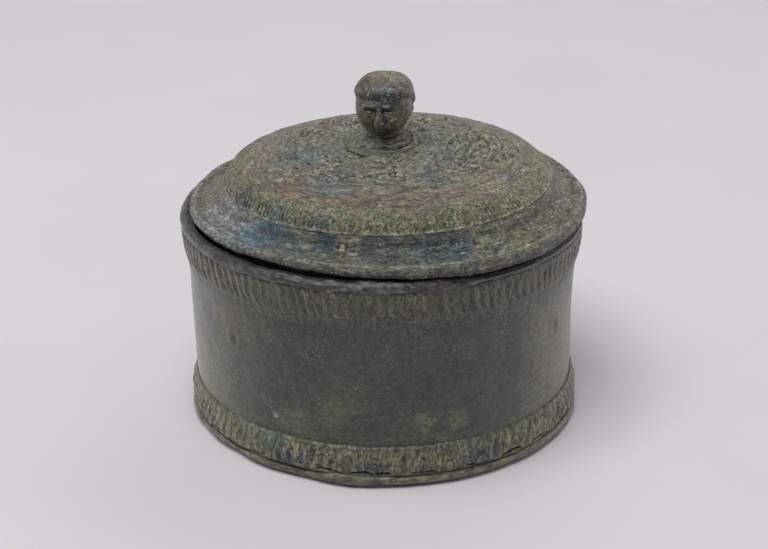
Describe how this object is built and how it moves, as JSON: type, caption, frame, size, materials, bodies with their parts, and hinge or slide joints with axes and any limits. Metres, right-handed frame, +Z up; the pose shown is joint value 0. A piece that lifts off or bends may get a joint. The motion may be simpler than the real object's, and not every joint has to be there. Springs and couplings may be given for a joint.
{
  "type": "inkwell",
  "caption": "Small round patinated metal inkwell: a straight drum with ribbed bands and a loose domed lid that lifts off by a head-shaped knob.",
  "frame": {"origin": "centre of the flat underside of the base plate", "axes": "+Z up along the drum's axis, -Y towards the side that the head on the knob faces, +X to the right of that side"},
  "size_m": [0.0795, 0.0792, 0.0684],
  "materials": {
    "base_metal": "copper alloy, olive-tan patina, worn along the edge",
    "drum_metal": "copper alloy, smooth dark grey-green patina with fine speckle",
    "lower_band_metal": "copper alloy, brown and olive patina with green and blue spots",
    "upper_band_metal": "copper alloy, grey-brown patina, ochre on the rib crests",
    "lip_metal": "copper alloy, grey patina rubbed bright in places",
    "lid_metal": "copper alloy, grey-olive patina with azure patches and a tan crust",
    "dome_metal": "copper alloy, brown patina flaking in layers round the knob",
    "strip_metal": "copper alloy, finely milled, olive and tan patina",
    "inner_metal": "copper alloy, dark ink-stained patina",
    "knob_metal": "copper alloy, dark brown patina, shiny where it is handled"
  },
  "bodies": {
    "well": {"base_plate": "base_metal", "drum_wall": "drum_metal", "lower_band": "lower_band_metal", "upper_band": "upper_band_metal", "rim_lip": "lip_metal"},
    "lid": {"lid_flange": "lid_metal", "lid_dome": "dome_metal", "milled_strip": "strip_metal", "locating_collar": "inner_metal", "head_knob": "knob_metal", "knob_rosette": "dome_metal", "tang_rove": "inner_metal"}
  },
  "joints": [
    {"name": "lid_lift", "type": "slide", "parent": "well", "child": "lid", "axis": [0, 0, 1], "range_m": [0, 0.05]}
  ]
}
